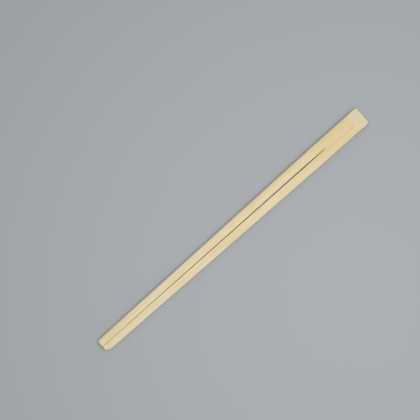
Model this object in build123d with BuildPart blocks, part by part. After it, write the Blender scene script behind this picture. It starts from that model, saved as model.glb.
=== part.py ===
"""Twin bamboo chopsticks with a slant-cut head, as sold before they are pulled apart.

One slat of bamboo is planed to a tapered bar with round long edges and sawn along its middle,
starting at the tips. The saw is lifted out short of the head, so the pair is one single piece.

+X runs from the tips to the head and +Z is up. The origin lies under the middle of the bar, on
the surface that it rests on. All sizes are in millimetres.
"""

import os

from build123d import *

# The planed bar
length = 240.0
head_width = 13.9
tip_width = 10.25
taper_length = 196.0  # from the tips to where the sides of the head run parallel
head_thickness = 5.0
tip_thickness = 4.4
edge_radius = 2.1  # each long outer edge, top and bottom
edge_share = 0.48  # most that an edge radius may take of the thickness

# The slant cut that shapes the head
slant_length = 10.0
slant_edge = 1.3  # thickness left at the end of the head

# The shallow V along the top that guides the split
groove_width = 4.2
groove_depth = 0.75  # at the head
groove_end_depth = 0.02  # at the tips, where it runs out

# The saw cut between the two sticks
kerf_head_width = 0.6
kerf_tip_width = 0.06  # the sticks lean together, so the cut nearly closes
kerf_stop = 33.0  # from the end of the head to where the cut leaves the top face
kerf_run_out = 21.0  # the cut narrows over this length before its end
kerf_end_width = 0.12
blade_radius = 75.0
blade_overcut = 0.2  # how far the blade reaches below the bar

# The ground tips
tip_slope_length = 17.5
tip_slope_drop = 0.35  # taken off the top and off the bottom at the end

# The bevelled corners, each with its length along the bar and its width across it
tip_bevel_left = (0.8, 1.2)  # +Y side
tip_bevel_right = (3.6, 2.0)  # -Y side
head_bevel_left = (0.4, 0.5)
head_bevel_right = (1.1, 0.9)

clear = 1.0  # how far each cutter reaches past what it cuts

tip_x = -length / 2
head_x = length / 2


def top_at(x):
    """Height of the top face, which falls evenly from the head to the tips."""
    return tip_thickness + (head_thickness - tip_thickness) * (x - tip_x) / length


# Where the blade's rim leaves the top face and where it leaves the bottom face
blade_top_x = head_x - kerf_stop
blade_z = blade_radius - blade_overcut
blade_x = blade_top_x - (blade_radius**2 - (blade_z - top_at(blade_top_x)) ** 2) ** 0.5
blade_bottom_x = blade_x + (blade_radius**2 - blade_z**2) ** 0.5

# The saw cut as a solid: its width in plan, trimmed to the line of the blade from the side
with BuildPart() as kerf:
    with BuildSketch(Plane.XY.offset(-clear)):
        with BuildLine():
            widest_x = blade_top_x - kerf_run_out
            Polyline(
                (tip_x - clear, -kerf_tip_width / 2),
                (tip_x, -kerf_tip_width / 2),
                (widest_x, -kerf_head_width / 2),
                (blade_top_x, -kerf_end_width / 2),
                (blade_top_x + clear, -kerf_end_width / 2),
                (blade_top_x + clear, kerf_end_width / 2),
                (blade_top_x, kerf_end_width / 2),
                (widest_x, kerf_head_width / 2),
                (tip_x, kerf_tip_width / 2),
                (tip_x - clear, kerf_tip_width / 2),
                close=True,
            )
        make_face()
    extrude(amount=head_thickness + 2 * clear)
    with BuildSketch(Plane.XZ):
        with Locations((blade_x, blade_z)):
            Circle(blade_radius)
        with Locations(((tip_x - clear + blade_x) / 2, head_thickness / 2)):
            Rectangle(blade_x - tip_x + clear, head_thickness + 2 * clear)
    extrude(amount=kerf_head_width + clear, both=True, mode=Mode.INTERSECT)

with BuildPart() as twin_chopsticks:
    # The bar: tapered in plan up to the head, and thinner towards the tips
    with BuildSketch(Plane.XY):
        with BuildLine():
            Polyline(
                (tip_x, -tip_width / 2),
                (tip_x + taper_length, -head_width / 2),
                (head_x, -head_width / 2),
                (head_x, head_width / 2),
                (tip_x + taper_length, head_width / 2),
                (tip_x, tip_width / 2),
                close=True,
            )
        make_face()
    extrude(amount=max(head_thickness, tip_thickness))
    with BuildSketch(Plane.XZ):
        with BuildLine():
            Polyline(
                (tip_x, 0),
                (head_x, 0),
                (head_x, head_thickness),
                (tip_x, tip_thickness),
                close=True,
            )
        make_face()
    extrude(amount=head_width, both=True, mode=Mode.INTERSECT)
    long_edges = [edge for edge in edges() if abs(edge.tangent_at(0.5).X) > 0.9]
    fillet(long_edges, min(edge_radius, edge_share * min(head_thickness, tip_thickness)))

    # The guiding V along the top, one straight pass of a cutter that sinks towards the head
    with BuildSketch(Plane.YZ.offset(head_x)):
        with BuildLine():
            floor = head_thickness - groove_depth
            rise = groove_depth + clear
            reach = rise * groove_width / 2 / groove_depth
            Polyline((0, floor), (reach, floor + rise), (-reach, floor + rise), close=True)
        make_face()
    groove_fall = tip_thickness - groove_end_depth - floor
    cutter_pass = Vector(-length, 0, groove_fall)
    extrude(amount=cutter_pass.length, dir=cutter_pass.normalized(), mode=Mode.SUBTRACT)

    # The slant of the head, and the slopes on the top and the bottom of the tips
    slant_x = head_x - slant_length
    slope_x = tip_x + tip_slope_length
    slant_fall = (top_at(slant_x) - slant_edge) / slant_length
    slope_fall = (top_at(slope_x) - top_at(tip_x) + tip_slope_drop) / tip_slope_length
    slope_rise = tip_slope_drop / tip_slope_length
    with BuildSketch(Plane.XZ):
        with BuildLine():
            Polyline(
                (slant_x - clear, top_at(slant_x) + clear * slant_fall),
                (head_x + clear, slant_edge - clear * slant_fall),
                (head_x + clear, top_at(slant_x) + clear * slant_fall),
                close=True,
            )
        make_face()
        with BuildLine():
            Polyline(
                (slope_x + clear, top_at(slope_x) + clear * slope_fall),
                (tip_x - clear, top_at(tip_x) - tip_slope_drop - clear * slope_fall),
                (tip_x - clear, top_at(slope_x) + clear * slope_fall),
                close=True,
            )
        make_face()
        with BuildLine():
            Polyline(
                (slope_x + clear, -clear * slope_rise),
                (tip_x - clear, tip_slope_drop + clear * slope_rise),
                (tip_x - clear, -clear * slope_rise),
                close=True,
            )
        make_face()
    extrude(amount=head_width, both=True, mode=Mode.SUBTRACT)

    # The bevelled corners, cut straight down
    with BuildSketch(Plane.XY.offset(-clear)):
        for x, inward, side, width, bevel in (
            (tip_x, 1, 1, tip_width, tip_bevel_left),
            (tip_x, 1, -1, tip_width, tip_bevel_right),
            (head_x, -1, 1, head_width, head_bevel_left),
            (head_x, -1, -1, head_width, head_bevel_right),
        ):
            with BuildLine():
                outer = side * width / 2
                beyond = clear / bevel[1]  # as a share of the bevel
                Polyline(
                    (x + inward * bevel[0] * (1 + beyond), outer + side * clear),
                    (x - inward * bevel[0] * beyond, outer - side * (bevel[1] + clear)),
                    (x - inward * bevel[0] * (1 + beyond), outer + side * clear),
                    close=True,
                )
            make_face()
    extrude(amount=head_thickness + 2 * clear, mode=Mode.SUBTRACT)

    # The saw cut
    add(kerf.part, mode=Mode.SUBTRACT)

twin_chopsticks.part.label = "twin_chopsticks"

os.makedirs("parts", exist_ok=True)
export_step(twin_chopsticks.part, "parts/twin_chopsticks.step")
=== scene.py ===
"""Twin bamboo chopsticks, one slat of bamboo parted by a saw from the tips and still joined at the
head.

The slat is worked out as a solid grid of points in millimetres. Its outside faces become one
closed mesh, with the planed fibres, the saw cut and the slant of the head in its shape. A
procedural bamboo finish, a pale floor, a soft lamp and a camera that looks straight down follow.
"""

import itertools
import logging
import math
from dataclasses import dataclass, field
from enum import Enum

import bmesh
import bpy
import numpy as np
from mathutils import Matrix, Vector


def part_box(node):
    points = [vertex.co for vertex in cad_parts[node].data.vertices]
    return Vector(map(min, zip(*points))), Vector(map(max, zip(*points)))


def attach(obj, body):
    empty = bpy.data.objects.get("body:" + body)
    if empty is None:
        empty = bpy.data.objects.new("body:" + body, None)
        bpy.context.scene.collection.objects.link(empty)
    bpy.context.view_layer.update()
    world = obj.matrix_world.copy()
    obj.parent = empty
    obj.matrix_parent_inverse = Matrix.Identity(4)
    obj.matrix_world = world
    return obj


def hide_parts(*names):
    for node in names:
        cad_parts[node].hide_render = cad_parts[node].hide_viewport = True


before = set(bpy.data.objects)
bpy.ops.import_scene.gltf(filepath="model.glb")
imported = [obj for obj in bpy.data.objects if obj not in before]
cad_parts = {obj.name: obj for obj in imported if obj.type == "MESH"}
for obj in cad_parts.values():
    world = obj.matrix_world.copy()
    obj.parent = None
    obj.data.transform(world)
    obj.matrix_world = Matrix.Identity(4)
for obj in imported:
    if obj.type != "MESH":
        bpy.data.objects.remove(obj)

logging.basicConfig(level=logging.INFO, format="%(message)s")
log = logging.getLogger("chopsticks")

MM = 0.001
NOISE_MIDDLE = 0.5
CAD_NODE = "twin_chopsticks"
SAW_WALL = "saw_wall"
Socket = bpy.types.NodeSocket
Value = float | Socket
Colour = tuple[int, int, int]


class Surface(Enum):
    """What made a face: the planer, or the saw that parts the sticks."""

    PLANED = 0.0
    SAWN = 1.0


def smooth_step(value: np.ndarray) -> np.ndarray:
    """Eases 0 to 1 with level ends: 3 t^2 - 2 t^3, with t held between 0 and 1."""
    held = np.clip(value, 0.0, 1.0)
    return held * held * (3.0 - 2.0 * held)


def linear(colour: Colour) -> tuple[float, float, float, float]:
    """Turns a display colour of 0 to 255 into the linear colour that a shader takes.

    Args:
        colour: Red, green and blue, as a screen shows them.

    Returns:
        Linear red, green and blue, and an alpha of 1.
    """
    part = np.array(colour) / 255.0
    light = np.where(part <= 0.04045, part / 12.92, ((part + 0.055) / 1.055) ** 2.4)
    return (*(float(c) for c in light), 1.0)


@dataclass(frozen=True)
class FibreField:
    """Seeded smooth noise whose cells are long in X, as fibres are.

    Attributes:
        seed: Seed of the lattice of random heights.
        cell: Size of a cell in X, Y and Z, in millimetres.
        lattice_size: Number of heights each way before the lattice repeats.
    """

    seed: int
    cell: tuple[float, float, float]
    lattice_size: int = 64

    def at(self, points: np.ndarray) -> np.ndarray:
        """Samples the noise.

        The height is the mean of a cell's eight corner heights, each weighted by its nearness,
        eased by 3 t^2 - 2 t^3 along each axis.

        Args:
            points: Places in millimetres, in an array that ends in an axis of 3.

        Returns:
            Heights between 0 and 1, one for each point.
        """
        size = self.lattice_size
        lattice = np.random.default_rng(self.seed).random((size, size, size))
        scaled = points / np.array(self.cell)
        base = np.floor(scaled).astype(int)
        near = smooth_step(scaled - base)
        total = np.zeros(points.shape[:-1])
        for corner in itertools.product((0, 1), repeat=3):
            at = (base + np.array(corner)) % size
            weight = np.prod(np.where(np.array(corner) == 1, near, 1.0 - near), axis=-1)
            total += weight * lattice[at[..., 0], at[..., 1], at[..., 2]]
        return total


@dataclass(frozen=True)
class PlanedBar:
    """The slat as the planer and the cutters leave it, in millimetres.

    X runs from the tips to the head, Y across both sticks, and Z up from the underside.
    """

    tip_x: float
    head_x: float
    head_width: float = 13.9
    tip_width: float = 10.25
    taper_length: float = 196.0
    head_thickness: float = 5.0
    tip_thickness: float = 4.4
    edge_radius: float = 2.1
    shoulder_width: float = 3.2
    shoulder_depth: float = 1.8
    slant_length: float = 10.0
    slant_edge: float = 1.3
    slant_blend: float = 2.4
    groove_width: float = 4.2
    groove_depth: float = 0.75
    groove_end_depth: float = 0.02
    tip_slope_length: float = 17.5
    tip_slope_drop: float = 0.35
    # Each bevel's length along the bar and its width across it, on the +Y and on the -Y stick
    tip_bevels: tuple[tuple[float, float], tuple[float, float]] = ((0.8, 1.2), (3.6, 2.0))
    head_bevels: tuple[tuple[float, float], tuple[float, float]] = ((0.4, 0.5), (1.1, 0.9))

    def share(self, x: np.ndarray) -> np.ndarray:
        """How far x lies from the tips, 0, to the head, 1."""
        return (x - self.tip_x) / (self.head_x - self.tip_x)

    def half_width(self, x: np.ndarray) -> np.ndarray:
        """Half the width, which grows evenly from the tips over taper_length, then stays."""
        grown = np.minimum((x - self.tip_x) / self.taper_length, 1.0)
        return (self.tip_width + (self.head_width - self.tip_width) * grown) / 2

    def top(self, x: np.ndarray) -> np.ndarray:
        """Height of the flat top, which falls evenly from the head to the tips."""
        return self.tip_thickness + (self.head_thickness - self.tip_thickness) * self.share(x)

    def grooved_top(self, x: np.ndarray, y: np.ndarray) -> np.ndarray:
        """Height of the top with its V: the lower of the flat top and a V that rises with |y|."""
        slope = self.groove_depth / (self.groove_width / 2)
        at_tips = self.tip_thickness - self.groove_end_depth
        at_head = self.head_thickness - self.groove_depth
        floor = at_tips + (at_head - at_tips) * self.share(x)
        return np.minimum(self.top(x), floor + slope * np.abs(y))

    def tip_ramps(self, x: np.ndarray) -> tuple[np.ndarray, np.ndarray]:
        """Heights of the slopes under and over the tips.

        Args:
            x: Places along the bar.

        Returns:
            The lowest height of the underside and the highest height of the top. Each moves by
            tip_slope_drop over tip_slope_length, and doesn't bind beyond it.
        """
        inward = np.clip((x - self.tip_x) / self.tip_slope_length, 0.0, 1.0)
        start = self.top(self.tip_x + self.tip_slope_length)
        end = self.top(self.tip_x) - self.tip_slope_drop
        under = self.tip_slope_drop * (1.0 - inward)
        over = np.where(inward < 1.0, end + (start - end) * inward, np.inf)
        return under, over

    def end_x(self, z: np.ndarray) -> np.ndarray:
        """Where the head ends at height z: upright below slant_edge, then back along the slant."""
        rise = self.top(self.head_x - self.slant_length) - self.slant_edge
        return self.head_x - np.clip(z - self.slant_edge, 0.0, None) * self.slant_length / rise

    def corner_limit(self, x: np.ndarray, side: int) -> np.ndarray:
        """How far out the stick on one side may reach, where its corners are cut off.

        Args:
            x: Places along the bar.
            side: 1 for the +Y stick and -1 for the -Y stick.

        Returns:
            The largest |y|: at an end the half width less the bevel's width, and that width more
            once the bevel's length is passed.
        """
        tip_length, tip_depth = self.tip_bevels[side < 0]
        head_length, head_depth = self.head_bevels[side < 0]
        at_tip = self.half_width(self.tip_x) - tip_depth + (x - self.tip_x) * tip_depth / tip_length
        past_head = (self.head_x - x) * head_depth / head_length
        at_head = self.half_width(self.head_x) - head_depth + past_head
        return np.minimum(at_tip, at_head)

    def edge_fall(self, x: np.ndarray, y: np.ndarray, wide: float, deep: float) -> np.ndarray:
        """How far a rounded long edge lies below the top, or above the underside, at y.

        It is the quarter of an ellipse, deep (1 - sqrt(1 - d^2)), where d grows from 0 to 1 over
        the last wide millimetres.

        Args:
            x: Places along the bar.
            y: Distances from the middle.
            wide: Width of the rounding.
            deep: Its height.

        Returns:
            The distances below the top or above the underside.
        """
        past = np.clip((y - self.half_width(x)) / wide + 1.0, 0.0, 1.0)
        return deep * (1.0 - np.sqrt(1.0 - past**2))

    def slant_fall(self, x: np.ndarray) -> np.ndarray:
        """How far sanding takes down the edge where the slant meets the top.

        It is s (b - d)^2 / 4b, where d is the distance from that edge, b is slant_blend and s is
        the slope of the slant, so that a parabola joins the two faces.
        """
        start = self.head_x - self.slant_length
        slope = (self.top(start) - self.slant_edge) / self.slant_length
        near = np.clip(self.slant_blend - np.abs(x - start), 0.0, None)
        return slope * near**2 / (4.0 * self.slant_blend)


@dataclass(frozen=True)
class SawCut:
    """The cut between the sticks, which ends on the round rim of the blade, in millimetres.

    The wander and the chip are shares of the cut's width. Each wall reads their noises along a
    line of its own, wall_line from the middle.
    """

    bar: PlanedBar
    head_width: float = 0.6
    tip_width: float = 0.06
    stop: float = 33.0
    run_out: float = 21.0
    run_out_width: float = 0.12
    blade_radius: float = 75.0
    overcut: float = 0.2
    wander: float = 0.16
    wander_field: FibreField = FibreField(seed=31, cell=(7.0, 1.0, 1.0))
    chip: float = 0.12
    chip_field: FibreField = FibreField(seed=32, cell=(1.7, 1.0, 1.0))
    wall_line: float = 5.5

    @property
    def blade_z(self) -> float:
        """Height of the blade's axle."""
        return self.blade_radius - self.overcut

    @property
    def blade_x(self) -> float:
        """Place of the blade's axle along the bar, where the saw was lifted out."""
        leave_x = self.bar.head_x - self.stop
        fall = self.blade_z - float(self.bar.top(leave_x))
        return leave_x - math.sqrt(self.blade_radius**2 - fall**2)

    def rim_x(self, z: np.ndarray) -> np.ndarray:
        """Where the cut ends at height z: on the blade's rim, a circle about its axle."""
        return self.blade_x + np.sqrt(self.blade_radius**2 - (self.blade_z - z) ** 2)

    def half_width(self, x: np.ndarray, side: int) -> np.ndarray:
        """Half the width of the cut, with the wander and the chips of a rough saw.

        The width grows evenly from the tips, then narrows to its end over run_out, where the
        blade was lifted. Each wall moves by two noises along X, both a share of the width, so
        that the walls never touch.

        Args:
            x: Places along the bar.
            side: 1 for the wall of the +Y stick and -1 for that of the -Y stick.

        Returns:
            The wall's distance from the middle.
        """
        end = self.bar.head_x - self.stop
        widest = end - self.run_out
        places = (self.bar.tip_x, widest, end)
        half = np.interp(x, places, (self.tip_width, self.head_width, self.run_out_width)) / 2
        line = np.stack([x, np.full_like(x, self.wall_line * side), np.zeros_like(x)], axis=-1)
        sway = self.wander * (self.wander_field.at(line) - NOISE_MIDDLE)
        nick = self.chip * (self.chip_field.at(line) - NOISE_MIDDLE)
        return half * (1.0 + sway + nick)


@dataclass(frozen=True)
class FibreRelief:
    """How deep the surface dips between its fibres, in millimetres.

    A furrow is as deep as furrow_gain times its noise, less furrow_start.
    """

    hollow: float = 0.03
    hollow_field: FibreField = FibreField(seed=11, cell=(60.0, 2.4, 2.4))
    furrow: float = 0.03
    furrow_field: FibreField = FibreField(seed=12, cell=(26.0, 0.62, 0.62))
    furrow_gain: float = 2.0
    furrow_start: float = 0.9
    scratch: float = 0.016
    scratch_field: FibreField = FibreField(seed=13, cell=(9.0, 0.27, 0.27))

    def depth(self, points: np.ndarray) -> np.ndarray:
        """Depth of the surface below the faces as cut, never above them.

        It adds a broad hollow, furrows where their noise is high, and fine scratches.

        Args:
            points: Places in millimetres.

        Returns:
            Depths of 0 and more, one for each point.
        """
        furrows = self.furrow_gain * self.furrow_field.at(points) - self.furrow_start
        return (
            self.hollow * self.hollow_field.at(points)
            + self.furrow * np.clip(furrows, 0.0, None)
            + self.scratch * self.scratch_field.at(points)
        )


@dataclass
class BambooPair:
    """The joined pair: two sticks parted by the saw cut, and the head that still holds them.

    A solid grid of points fills the bar: stations along X, columns across each stick, and rows
    from the underside to the top. Stations bend to lie along the blade's rim and along the slant.
    """

    bar: PlanedBar
    cut: SawCut
    relief: FibreRelief = field(default_factory=FibreRelief)
    name: str = "bamboo_pair"
    # Lengths of the runs of stations from the tips, and the spacing in each
    runs: tuple[tuple[float, float], ...] = ((4.0, 0.125), (14.0, 0.7), (180.0, 1.0), (42.0, 0.7))
    root_run: int = 3
    flat_columns: int = 33
    round_columns: int = 12
    middle_columns: int = 6
    rows: int = 22
    edge_row: int = 6
    least_share: float = 0.6
    least_height: float = 1e-9
    rim_reach_to_tips: float = 38.0
    rim_reach_to_head: float = 26.0
    slant_reach: float = 22.0
    settle_passes: int = 6
    weld_distance: float = 0.0002
    sharp_angle: float = math.radians(32.0)
    edge_passes: int = 4
    edge_share: float = 0.4

    def stations(self) -> tuple[np.ndarray, int]:
        """Lays the stations out.

        Returns:
            Their places along X, and the number of the one that lies on the blade's rim.
        """
        starts = self.bar.tip_x + np.cumsum([0.0, *(length for length, _ in self.runs)])
        counts = [round(length / step) for length, step in self.runs]
        laid = [
            np.linspace(start, start + length, count, endpoint=False)
            for start, (length, _), count in zip(starts, self.runs, counts)
        ]
        return np.append(np.concatenate(laid), self.bar.head_x), sum(counts[: self.root_run])

    def bend(self, station: np.ndarray, root_x: float, z: np.ndarray) -> np.ndarray:
        """Moves points along X so that two stations lie on curved cuts.

        A point moves by the distance from its station to the cut at its height, times a weight
        that eases from 1 at that station to 0 a reach away. The cuts are the blade's rim, at
        root_x, and the slant, at the head.

        Args:
            station: The points' stations.
            root_x: The station that lies on the blade's rim.
            z: The points' heights.

        Returns:
            The points' places along X.
        """
        reach = np.where(station < root_x, self.rim_reach_to_tips, self.rim_reach_to_head)
        near_rim = smooth_step(1.0 - np.abs(station - root_x) / reach)
        moved = station + near_rim * (self.cut.rim_x(z) - root_x)
        return moved + self.near_head(station) * (self.bar.end_x(z) - self.bar.head_x)

    def near_head(self, station: np.ndarray) -> np.ndarray:
        """Weight that eases from 0 to 1 over the last slant_reach before the head's end."""
        return smooth_step(1.0 - (self.bar.head_x - station) / self.slant_reach)

    def heights(self, station: np.ndarray, under: np.ndarray, over: np.ndarray) -> np.ndarray:
        """Heights of a column's rows.

        Rows are even between the underside and the top. Towards the head they shift so that
        edge_row meets the lower edge of the slant, or keeps least_share of its height where the
        rounded underside is as high as that edge.

        Args:
            station: The columns' stations.
            under: Heights of the underside.
            over: Heights of the top.

        Returns:
            Heights, with one more axis for the rows.
        """
        row = np.arange(self.rows + 1)
        low, high = under[..., None], over[..., None]
        even = low + (high - low) * row / self.rows
        least = low + self.least_share * (high - low) * self.edge_row / self.rows
        edge = np.clip(self.bar.slant_edge, least, high)
        below = low + (edge - low) * row / self.edge_row
        above = edge + (high - edge) * (row - self.edge_row) / (self.rows - self.edge_row)
        shifted = np.where(row <= self.edge_row, below, above)
        weight = self.near_head(station)[..., None]
        return even + weight * (shifted - even)

    def stick(self, stations: np.ndarray, root_x: float, side: int) -> np.ndarray:
        """Fills one stick, and its half of the head, with points.

        Across, the columns run evenly from the cut to where the shoulder starts to round, then
        round by equal angles: y = half width - w + w sin a. The top falls and the underside
        rises by the rounding at that y. Beside a bevelled corner the columns close up in
        proportion, so that the last one lies on the bevel.

        Args:
            stations: Places of the stations.
            root_x: The station that lies on the blade's rim.
            side: 1 for the +Y stick and -1 for the -Y stick.

        Returns:
            Points in an array of stations, columns, rows and 3.
        """
        shoulder = self.bar.shoulder_width
        even = np.linspace(0.0, 1.0, self.flat_columns + 1)
        angle = np.linspace(0.0, math.pi / 2, self.round_columns + 1)[1:]
        flat_share = np.concatenate([even, np.ones(self.round_columns)])
        angle = np.concatenate([np.zeros(self.flat_columns + 1), angle])
        shape = (len(stations), len(angle), self.rows + 1)
        station = np.broadcast_to(stations[:, None], shape[:2])
        x = np.broadcast_to(station[..., None], shape)
        for _ in range(self.settle_passes):
            wall = self.cut.half_width(x, side)
            width = self.bar.half_width(x)
            reach = (width - shoulder - wall) * flat_share[:, None]
            reach = reach + shoulder * np.sin(angle)[:, None]
            room = (self.bar.corner_limit(x, side) - wall) / (width - wall)
            y = wall + reach * np.minimum(room, 1.0)
            ramp_under, ramp_over = self.bar.tip_ramps(x)
            fall = self.bar.edge_fall(x, y, shoulder, self.bar.shoulder_depth)
            over = np.minimum(self.bar.grooved_top(x, y) - fall, ramp_over)
            rise = self.bar.edge_fall(x, y, self.bar.edge_radius, self.bar.edge_radius)
            z = self.between(station, np.maximum(rise, ramp_under), over)
            x = self.bend(station[..., None], root_x, z)
        return np.stack([x, side * y, self.sanded(x, z)], axis=-1)

    def sanded(self, x: np.ndarray, z: np.ndarray) -> np.ndarray:
        """Heights after sanding: each falls by its share of what the slant's edge loses."""
        return z * (1.0 - self.bar.slant_fall(x) / self.bar.top(x))

    def between(self, station: np.ndarray, under: np.ndarray, over: np.ndarray) -> np.ndarray:
        """Heights of points whose own underside and top are known, row by row."""
        rows = self.heights(station, under[..., 0], over[..., -1])
        height = np.maximum(rows[..., -1:] - rows[..., :1], self.least_height)
        share = (rows - rows[..., :1]) / height
        return under + share * (over - under)

    def web(self, stations: np.ndarray, root_x: float) -> np.ndarray:
        """Fills what joins the sticks at the head, between the two walls of the cut.

        Args:
            stations: Places of the stations from the blade's rim to the head.
            root_x: The station that lies on the blade's rim.

        Returns:
            Points in an array of stations, columns, rows and 3. Its outer columns are the sticks'
            inner ones.
        """
        across = np.linspace(0.0, 1.0, self.middle_columns + 1)[:, None]
        shape = (len(stations), self.middle_columns + 1, self.rows + 1)
        station = np.broadcast_to(stations[:, None], shape[:2])
        x = np.broadcast_to(station[..., None], shape)
        for _ in range(self.settle_passes):
            right, left = -self.cut.half_width(x, -1), self.cut.half_width(x, 1)
            y = right + (left - right) * across
            ramp_under, ramp_over = self.bar.tip_ramps(x)
            over = np.minimum(self.bar.grooved_top(x, y), ramp_over)
            z = self.between(station, np.broadcast_to(ramp_under, shape), over)
            x = self.bend(station[..., None], root_x, z)
        return np.stack([x, y, self.sanded(x, z)], axis=-1)

    def patches(self) -> list[tuple[np.ndarray, Surface]]:
        """Takes the outside faces of the three blocks, each with what made it."""
        stations, root = self.stations()
        root_x = float(stations[root])
        found: list[tuple[np.ndarray, Surface]] = []
        for side in (1, -1):
            block = self.stick(stations, root_x, side)
            planed = (block[:, :, 0], block[:, :, -1], block[:, -1], block[0], block[-1])
            found += [(patch, Surface.PLANED) for patch in planed]
            found.append((block[: root + 1, 0], Surface.SAWN))
        block = self.web(stations[root:], root_x)
        found += [(patch, Surface.PLANED) for patch in (block[:, :, 0], block[:, :, -1], block[-1])]
        found.append((block[0], Surface.SAWN))
        return found

    def mesh(self) -> bpy.types.Mesh:
        """Joins the patches into one closed mesh, in millimetres, whose faces point outwards."""
        points: list[np.ndarray] = []
        quads: list[np.ndarray] = []
        made: list[np.ndarray] = []
        start = 0
        for patch, surface in self.patches():
            long, wide = patch.shape[:2]
            number = start + np.arange(long * wide).reshape(long, wide)
            ring = (number[:-1, :-1], number[1:, :-1], number[1:, 1:], number[:-1, 1:])
            quads.append(np.stack(ring, axis=-1).reshape(-1, 4))
            points.append(patch.reshape(-1, 3))
            made.append(np.full(len(quads[-1]), surface.value))
            start += long * wide
        mesh = bpy.data.meshes.new(self.name)
        mesh.from_pydata(np.concatenate(points), [], np.concatenate(quads).tolist())
        walls = mesh.attributes.new(SAW_WALL, "FLOAT", "FACE")
        walls.data.foreach_set("value", np.concatenate(made))
        shell = bmesh.new()
        shell.from_mesh(mesh)
        bmesh.ops.remove_doubles(shell, verts=shell.verts, dist=self.weld_distance)
        bmesh.ops.dissolve_degenerate(shell, edges=shell.edges, dist=self.weld_distance)
        bmesh.ops.recalc_face_normals(shell, faces=shell.faces)
        open_edges = sum(not edge.is_manifold for edge in shell.edges)
        volume = shell.calc_volume(signed=True)
        shell.to_mesh(mesh)
        shell.free()
        report = "%s: %d faces, %d open edges, %.0f mm3 before its edges are broken"
        log.info(report, self.name, len(mesh.polygons), open_edges, volume)
        return mesh

    def break_edges(self, mesh: bpy.types.Mesh) -> None:
        """Takes the sharpness off the cut edges, as handling does.

        Each point on a sharp edge moves by edge_share towards the mean of its neighbours,
        edge_passes times over.

        Args:
            mesh: The closed mesh, whose sharp edges get marked.
        """
        mesh.shade_smooth()
        mesh.set_sharp_from_angle(angle=self.sharp_angle)
        count = len(mesh.vertices)
        place = np.empty(count * 3)
        mesh.vertices.foreach_get("co", place)
        place = place.reshape(-1, 3)
        ends = np.empty(len(mesh.edges) * 2, dtype=np.int32)
        mesh.edges.foreach_get("vertices", ends)
        ends = ends.reshape(-1, 2)
        sharp = np.zeros(len(mesh.edges), dtype=bool)
        mesh.attributes["sharp_edge"].data.foreach_get("value", sharp)
        on_edge = np.unique(ends[sharp])
        neighbours = np.bincount(ends.ravel(), minlength=count)[:, None]
        for _ in range(self.edge_passes):
            total = np.zeros_like(place)
            np.add.at(total, ends[:, 0], place[ends[:, 1]])
            np.add.at(total, ends[:, 1], place[ends[:, 0]])
            place[on_edge] += self.edge_share * (total / neighbours - place)[on_edge]
        mesh.vertices.foreach_set("co", place.ravel())
        mesh.update()

    def press_fibres(self, mesh: bpy.types.Mesh) -> None:
        """Sinks each point along its normal by the fibre relief, then scales to metres."""
        place = np.empty(len(mesh.vertices) * 3)
        mesh.vertices.foreach_get("co", place)
        outward = np.empty(len(mesh.vertices) * 3)
        mesh.vertex_normals.foreach_get("vector", outward)
        place, outward = place.reshape(-1, 3), outward.reshape(-1, 3)
        sunk = place - outward * self.relief.depth(place)[:, None]
        mesh.vertices.foreach_set("co", (sunk * MM).ravel())
        mesh.update()

    def build(self, finish: "BambooFinish") -> bpy.types.Object:
        """Builds the piece and gives it its finish.

        Args:
            finish: The bamboo finish.

        Returns:
            The piece, riding on the CAD body, in place of the CAD node.
        """
        mesh = self.mesh()
        self.break_edges(mesh)
        self.press_fibres(mesh)
        mesh.materials.append(finish.material())
        piece = bpy.data.objects.new(self.name, mesh)
        bpy.context.scene.collection.objects.link(piece)
        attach(piece, "root")
        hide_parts(CAD_NODE)
        return piece


@dataclass(frozen=True)
class Grain:
    """A layer of noise drawn out along the fibres.

    Attributes:
        scale: Cells for each millimetre in X, Y and Z.
        detail: How many finer layers are added to it.
        roughness: How strong each finer layer is.
    """

    scale: tuple[float, float, float]
    detail: float = 2.0
    roughness: float = 0.5


@dataclass(frozen=True)
class Ramp:
    """A step that eases from low to high as a value goes from start to end."""

    start: float
    end: float
    low: float = 0.0
    high: float = 1.0


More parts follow.
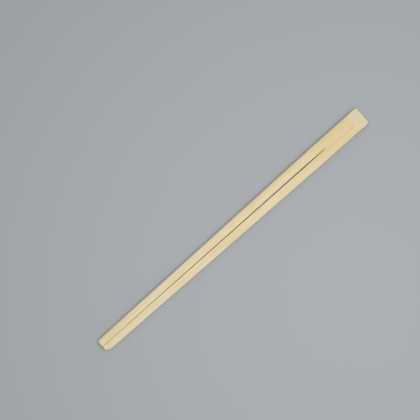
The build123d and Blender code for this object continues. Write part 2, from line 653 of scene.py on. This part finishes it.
class NodeDesk:
    """Lays out and wires the nodes of one material."""

    def __init__(self, name: str) -> None:
        """Starts a material with its shader and nothing else."""
        self.material = bpy.data.materials.new(name)
        self.material.use_nodes = True
        self.tree = self.material.node_tree
        self.shader = self.tree.nodes["Principled BSDF"]

    def node(
        self, kind: str, inputs: dict[str | int, object], **settings: object
    ) -> bpy.types.Node:
        """Adds a node.

        Args:
            kind: The node's type name.
            inputs: For each input, a socket to wire in or a value to set.
            **settings: The node's own settings.

        Returns:
            The node.
        """
        made = self.tree.nodes.new(kind)
        for key, setting in settings.items():
            setattr(made, key, setting)
        for key, value in inputs.items():
            if isinstance(value, bpy.types.NodeSocket):
                self.tree.links.new(value, made.inputs[key])
            else:
                made.inputs[key].default_value = value
        return made

    def math(
        self, operation: str, first: Value, second: Value = 0.0, third: Value = 0.0
    ) -> Socket:
        """One step of arithmetic on numbers."""
        inputs = {0: first, 1: second, 2: third}
        return self.node("ShaderNodeMath", inputs, operation=operation).outputs[0]

    def times(self, vector: Socket, by: tuple[float, float, float]) -> Socket:
        """A vector with each of its parts multiplied."""
        inputs = {0: vector, 1: by}
        return self.node("ShaderNodeVectorMath", inputs, operation="MULTIPLY").outputs[0]

    def noise(self, place: Socket, grain: Grain) -> bpy.types.Node:
        """Smooth noise at a place in millimetres."""
        inputs = {
            "Vector": self.times(place, grain.scale),
            "Scale": 1.0,
            "Detail": grain.detail,
            "Roughness": grain.roughness,
        }
        return self.node("ShaderNodeTexNoise", inputs)

    def ease(self, value: Value, ramp: Ramp) -> Socket:
        """Puts a value through an eased step."""
        inputs = {"Value": value, 1: ramp.start, 2: ramp.end, 3: ramp.low, 4: ramp.high}
        return self.node("ShaderNodeMapRange", inputs, interpolation_type="SMOOTHSTEP").outputs[0]

    def blend(self, share: Value, first: object, second: object, mode: str = "MIX") -> Socket:
        """Mixes two colours, each a socket or a display colour."""
        chosen = [linear(c) if isinstance(c, tuple) else c for c in (first, second)]
        inputs = {0: share, 6: chosen[0], 7: chosen[1]}
        return self.node("ShaderNodeMix", inputs, data_type="RGBA", blend_type=mode).outputs[2]


@dataclass(frozen=True)
class BambooFinish:
    """Planed, uncoated bamboo: pale straw with darker fibres, and paler where it is cut across.

    Lengths are in millimetres. Ramps across and along the piece read places in millimetres, and
    those on a facing read a part of the normal, from 0 to 1.
    """

    # Besides the wood's own colours, the finish paints a highlight on the rounded long edges and
    # shade in and beside the saw cut
    pale: Colour = (235, 222, 187)
    deep: Colour = (222, 203, 159)
    fibre: Colour = (202, 174, 122)
    bundle: Colour = (190, 156, 101)
    cut_pale: Colour = (230, 219, 190)
    cut_share: float = 0.64
    # Painted highlight: a paler colour laid on the rounded long edges
    painted_rim_highlight: Colour = (238, 230, 212)
    painted_rim_highlight_share: float = 0.38
    # Saw-cut walls: wood a little browner from the saw, darkened much further as painted shade of
    # the narrow slot
    sawn_wall_and_shade: Colour = (132, 92, 44)

    # The fibres drift from straight lines by up to drift_reach, read from a slow noise
    drift: Grain = Grain((0.018, 0.12, 0.12), detail=1.0)
    drift_reach: float = 1.7
    broad: Grain = Grain((0.008, 0.42, 0.42))
    streak: Grain = Grain((0.014, 1.9, 1.9), detail=3.0, roughness=0.6)
    thread: Grain = Grain((0.03, 5.2, 5.2))
    thread_ramp: Ramp = Ramp(0.5, 0.74, 0.0, 0.4)
    # The tone is broad_gain times the broad noise, plus streak_gain times the streaks, plus a base
    broad_gain: float = 0.9
    streak_gain: float = 1.1
    tone_base: float = 0.03
    tone_ramp: Ramp = Ramp(0.0, 1.0)

    # Bundles of fibres, which show as dots on a cut across
    bundle_spacing: float = 0.85
    bundle_stretch: float = 0.0035
    bundle_scatter: float = 0.85
    bundle_ramp: Ramp = Ramp(0.28, 0.10)
    bundle_facing: Ramp = Ramp(0.5, 0.95, 0.28, 0.6)

    cut_facing: Ramp = Ramp(0.06, 0.36)
    # The shoulder ramps bound the painted highlight on the rounded long edges
    shoulder_start: Ramp = Ramp(0.2, 0.6)
    shoulder_end: Ramp = Ramp(1.0, 0.75)

    # Painted shade: the top is darker and warmer within a millimetre of the saw cut, along the
    # length the saw has parted
    slot_shade_tint: Colour = (252, 247, 235)
    slot_shade_across: Ramp = Ramp(0.9, 0.3)
    slot_shade_along: Ramp = Ramp(90.0, 82.0)
    head_tint: Colour = (249, 243, 225)
    head_steps: tuple[Ramp, ...] = (Ramp(-45.0, 15.0, 0.0, 0.35), Ramp(60.0, 100.0, 0.0, 0.65))
    tip_tint: Colour = (252, 252, 247)
    tip_ramp: Ramp = Ramp(-94.0, -114.0)

    mottle: Grain = Grain((1.0 / 15.0, 1.0 / 4.5, 1.0 / 4.5), detail=1.0)
    mottle_hue: float = 0.035
    mottle_saturation: float = 0.4

    rough_ramp: Ramp = Ramp(0.3, 0.9, 0.52, 0.68)
    rough_cut: float = 0.4
    specular: float = 0.3
    bump_height: float = 0.00003
    bump_strength: float = 0.6
    # Shares of the streaks, the threads and the bundles in the bump
    bump_shares: tuple[float, float, float] = (0.6, 0.5, 0.25)

    def material(self) -> bpy.types.Material:
        """Builds the finish from the piece's own coordinates, in millimetres.

        Returns:
            The material.
        """
        desk = NodeDesk("planed bamboo")
        place = desk.node("ShaderNodeTexCoord", {}).outputs
        metric = desk.times(place["Object"], (1.0 / MM,) * 3)
        along = self.drifted(desk, metric)
        parts = desk.node("ShaderNodeSeparateXYZ", {0: metric}).outputs
        normal = desk.node("ShaderNodeSeparateXYZ", {0: place["Normal"]}).outputs
        facing = desk.math("ABSOLUTE", normal[0])
        across = desk.ease(facing, self.cut_facing)
        streak = desk.noise(along, self.streak).outputs["Fac"]
        thread = desk.noise(along, self.thread).outputs["Fac"]
        core = self.bundles(desk, along)

        ground = self.fibres(desk, along, streak, thread)
        tinted = self.tinted(desk, self.mottled(desk, ground, along), parts[0])
        # The painted highlight along the rounded long edges, placed by the shoulder mask
        painted_rim_highlight_share = desk.math("MULTIPLY", self.shoulder(desk, normal[1]), self.painted_rim_highlight_share)
        painted_rim_highlight = desk.blend(painted_rim_highlight_share, tinted, self.painted_rim_highlight)
        cut_share = desk.math("MULTIPLY", across, self.cut_share)
        cut = desk.blend(cut_share, painted_rim_highlight, self.cut_pale)
        bundle_share = desk.math("MULTIPLY", core, desk.ease(facing, self.bundle_facing))
        grained = desk.blend(bundle_share, cut, self.bundle)
        # Painted shade: darker and warmer beside the saw cut
        slot_shaded = desk.blend(self.slot_shade(desk, parts), grained, self.slot_shade_tint, "MULTIPLY")
        # The saw-cut walls take their colour, which holds painted shade of the slot
        wall = desk.node("ShaderNodeAttribute", {}, attribute_name=SAW_WALL).outputs["Fac"]
        colour = desk.blend(wall, slot_shaded, self.sawn_wall_and_shade)

        rough = desk.math("ADD", streak, desk.math("MULTIPLY", across, self.rough_cut))
        desk.tree.links.new(colour, desk.shader.inputs["Base Color"])
        desk.tree.links.new(desk.ease(rough, self.rough_ramp), desk.shader.inputs["Roughness"])
        bump = self.bump(desk, streak, thread, core)
        desk.tree.links.new(bump, desk.shader.inputs["Normal"])
        desk.shader.inputs["Specular IOR Level"].default_value = self.specular
        return desk.material

    def drifted(self, desk: NodeDesk, metric: Socket) -> Socket:
        """Moves places sideways by a slow noise, so that the fibres aren't quite straight."""
        drift = desk.noise(metric, self.drift).outputs["Color"]
        inputs = {0: drift, 1: (NOISE_MIDDLE,) * 3}
        sway = desk.node("ShaderNodeVectorMath", inputs, operation="SUBTRACT").outputs[0]
        sway = desk.times(sway, (0.0, self.drift_reach, self.drift_reach))
        return desk.node("ShaderNodeVectorMath", {0: metric, 1: sway}, operation="ADD").outputs[0]

    def fibres(self, desk: NodeDesk, along: Socket, streak: Socket, thread: Socket) -> Socket:
        """Colour of the wood along its fibres: a tone between pale and deep, and dark threads."""
        broad = desk.noise(along, self.broad).outputs["Fac"]
        tone = desk.math("MULTIPLY_ADD", broad, self.broad_gain, self.tone_base)
        streaks = desk.math("SUBTRACT", streak, NOISE_MIDDLE)
        tone = desk.math("MULTIPLY_ADD", streaks, self.streak_gain, tone)
        ground = desk.blend(desk.ease(tone, self.tone_ramp), self.pale, self.deep)
        return desk.blend(desk.ease(thread, self.thread_ramp), ground, self.fibre)

    def bundles(self, desk: NodeDesk, along: Socket) -> Socket:
        """How near a place is to the middle of a bundle of fibres, from 0 to 1."""
        pitch = 1.0 / self.bundle_spacing
        cells = desk.times(along, (self.bundle_stretch, pitch, pitch))
        inputs = {"Vector": cells, "Scale": 1.0, "Randomness": self.bundle_scatter}
        core = desk.node("ShaderNodeTexVoronoi", inputs).outputs["Distance"]
        return desk.ease(core, self.bundle_ramp)

    def shoulder(self, desk: NodeDesk, normal_y: Socket) -> Socket:
        """How much a face is a rounded long edge, neither flat nor upright, from 0 to 1."""
        # This mask places the painted highlight on the rounded long edges.
        sideways = desk.math("ABSOLUTE", normal_y)
        start, end = (desk.ease(sideways, r) for r in (self.shoulder_start, self.shoulder_end))
        return desk.math("MULTIPLY", start, end)

    def slot_shade(self, desk: NodeDesk, parts: object) -> Socket:
        """How near a place is to the saw cut, from 0 to 1, where the saw has parted the pair: it
        places painted shade beside the cut.
        """
        near = desk.ease(desk.math("ABSOLUTE", parts[1]), self.slot_shade_across)
        return desk.math("MULTIPLY", near, desk.ease(parts[0], self.slot_shade_along))

    def mottled(self, desk: NodeDesk, ground: Socket, along: Socket) -> Socket:
        """Shifts the hue and the depth of colour in soft patches that lie along the fibres."""
        patches = desk.noise(along, self.mottle).outputs["Color"]
        hue, depth, _ = desk.node("ShaderNodeSeparateColor", {0: patches}).outputs
        hue = desk.math("SUBTRACT", hue, NOISE_MIDDLE)
        depth = desk.math("SUBTRACT", depth, NOISE_MIDDLE)
        inputs = {
            "Hue": desk.math("MULTIPLY_ADD", hue, self.mottle_hue, 0.5),
            "Saturation": desk.math("MULTIPLY_ADD", depth, self.mottle_saturation, 1.0),
            "Color": ground,
        }
        return desk.node("ShaderNodeHueSaturation", inputs).outputs[0]

    def tinted(self, desk: NodeDesk, ground: Socket, x: Socket) -> Socket:
        """Warms the wood towards the head and dulls the tips, each by a tint that eases in."""
        head: Value = 0.0
        for step in self.head_steps:
            head = desk.math("ADD", head, desk.ease(x, step))
        warmed = desk.blend(head, ground, self.head_tint, "MULTIPLY")
        return desk.blend(desk.ease(x, self.tip_ramp), warmed, self.tip_tint, "MULTIPLY")

    def bump(self, desk: NodeDesk, streak: Socket, thread: Socket, core: Socket) -> Socket:
        """Fine relief for the light to catch, from the streaks, the threads and the bundles."""
        by_streak, by_thread, by_core = self.bump_shares
        threads = desk.math("MULTIPLY", thread, by_thread)
        height = desk.math("MULTIPLY_ADD", streak, by_streak, threads)
        height = desk.math("MULTIPLY_ADD", core, by_core, height)
        inputs = {"Height": height, "Strength": self.bump_strength, "Distance": self.bump_height}
        return desk.node("ShaderNodeBump", inputs).outputs[0]


@dataclass(frozen=True)
class Studio:
    """A plain pale floor, one soft lamp, and a camera that looks straight down, in metres."""

    floor_colour: Colour = (171, 175, 178)
    floor_size: float = 4.0
    floor_drop: float = 0.00002
    floor_points: int = 3
    floor_roughness: float = 0.9
    floor_specular: float = 0.0
    sky_strength: float = 0.5
    lamp_power: float = 1.62
    lamp_size: float = 0.45
    lamp_place: tuple[float, float, float] = (0.035, -0.09, 0.5)
    camera_turn: float = math.radians(-41.68)
    camera_place: tuple[float, float] = (-0.00227, 0.02103)
    camera_distance: float = 1.2
    view_width: float = 0.2894
    sensor: float = 36.0

    def floor(self) -> bpy.types.Object:
        """Lays the floor: a flat grid just under the bamboo."""
        line = np.linspace(-self.floor_size / 2, self.floor_size / 2, self.floor_points)
        across, along = np.meshgrid(line, line)
        points = np.stack([across, along, np.full_like(across, -self.floor_drop)], axis=-1)
        number = np.arange(points.shape[0] * points.shape[1]).reshape(points.shape[:2])
        ring = (number[:-1, :-1], number[:-1, 1:], number[1:, 1:], number[1:, :-1])
        mesh = bpy.data.meshes.new("floor")
        faces = np.stack(ring, axis=-1).reshape(-1, 4)
        mesh.from_pydata(points.reshape(-1, 3), [], faces.tolist())
        desk = NodeDesk("matt floor")
        desk.shader.inputs["Base Color"].default_value = linear(self.floor_colour)
        desk.shader.inputs["Roughness"].default_value = self.floor_roughness
        desk.shader.inputs["Specular IOR Level"].default_value = self.floor_specular
        mesh.materials.append(desk.material)
        made = bpy.data.objects.new("floor", mesh)
        bpy.context.scene.collection.objects.link(made)
        return made

    def light(self) -> None:
        """Lights the scene with one big soft lamp and an even sky."""
        world = bpy.data.worlds.new("even sky")
        bpy.context.scene.world = world
        world.use_nodes = True
        sky = world.node_tree.nodes["Background"].inputs
        sky["Color"].default_value = (1.0, 1.0, 1.0, 1.0)
        sky["Strength"].default_value = self.sky_strength
        lamp = bpy.data.lights.new("soft lamp", "AREA")
        lamp.energy = self.lamp_power
        lamp.size = self.lamp_size
        hung = bpy.data.objects.new("soft lamp", lamp)
        hung.location = self.lamp_place
        bpy.context.scene.collection.objects.link(hung)

    def camera(self, level: float) -> None:
        """Hangs the camera over the pair.

        Args:
            level: Height at which the view is as wide as view_width, in metres.
        """
        lens = bpy.data.cameras.new("camera")
        lens.sensor_width = self.sensor
        lens.lens = self.sensor * self.camera_distance / self.view_width
        held = bpy.data.objects.new("camera", lens)
        held.location = (*self.camera_place, level + self.camera_distance)
        held.rotation_euler = (0.0, 0.0, self.camera_turn)
        bpy.context.scene.collection.objects.link(held)
        bpy.context.scene.camera = held


def main() -> None:
    """Builds the pair, the floor, the lamp and the camera, in that order."""
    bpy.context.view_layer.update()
    low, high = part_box(CAD_NODE)
    bpy.context.scene.view_settings.view_transform = "Standard"
    bar = PlanedBar(tip_x=float(low[0]) / MM, head_x=float(high[0]) / MM)
    pair = BambooPair(bar=bar, cut=SawCut(bar=bar)).build(BambooFinish())
    log.info("built %s", pair.name)
    studio = Studio()
    log.info("laid %s", studio.floor().name)
    studio.light()
    studio.camera(float(low[2] + high[2]) / 2)


if __name__ == "__main__":
    main()
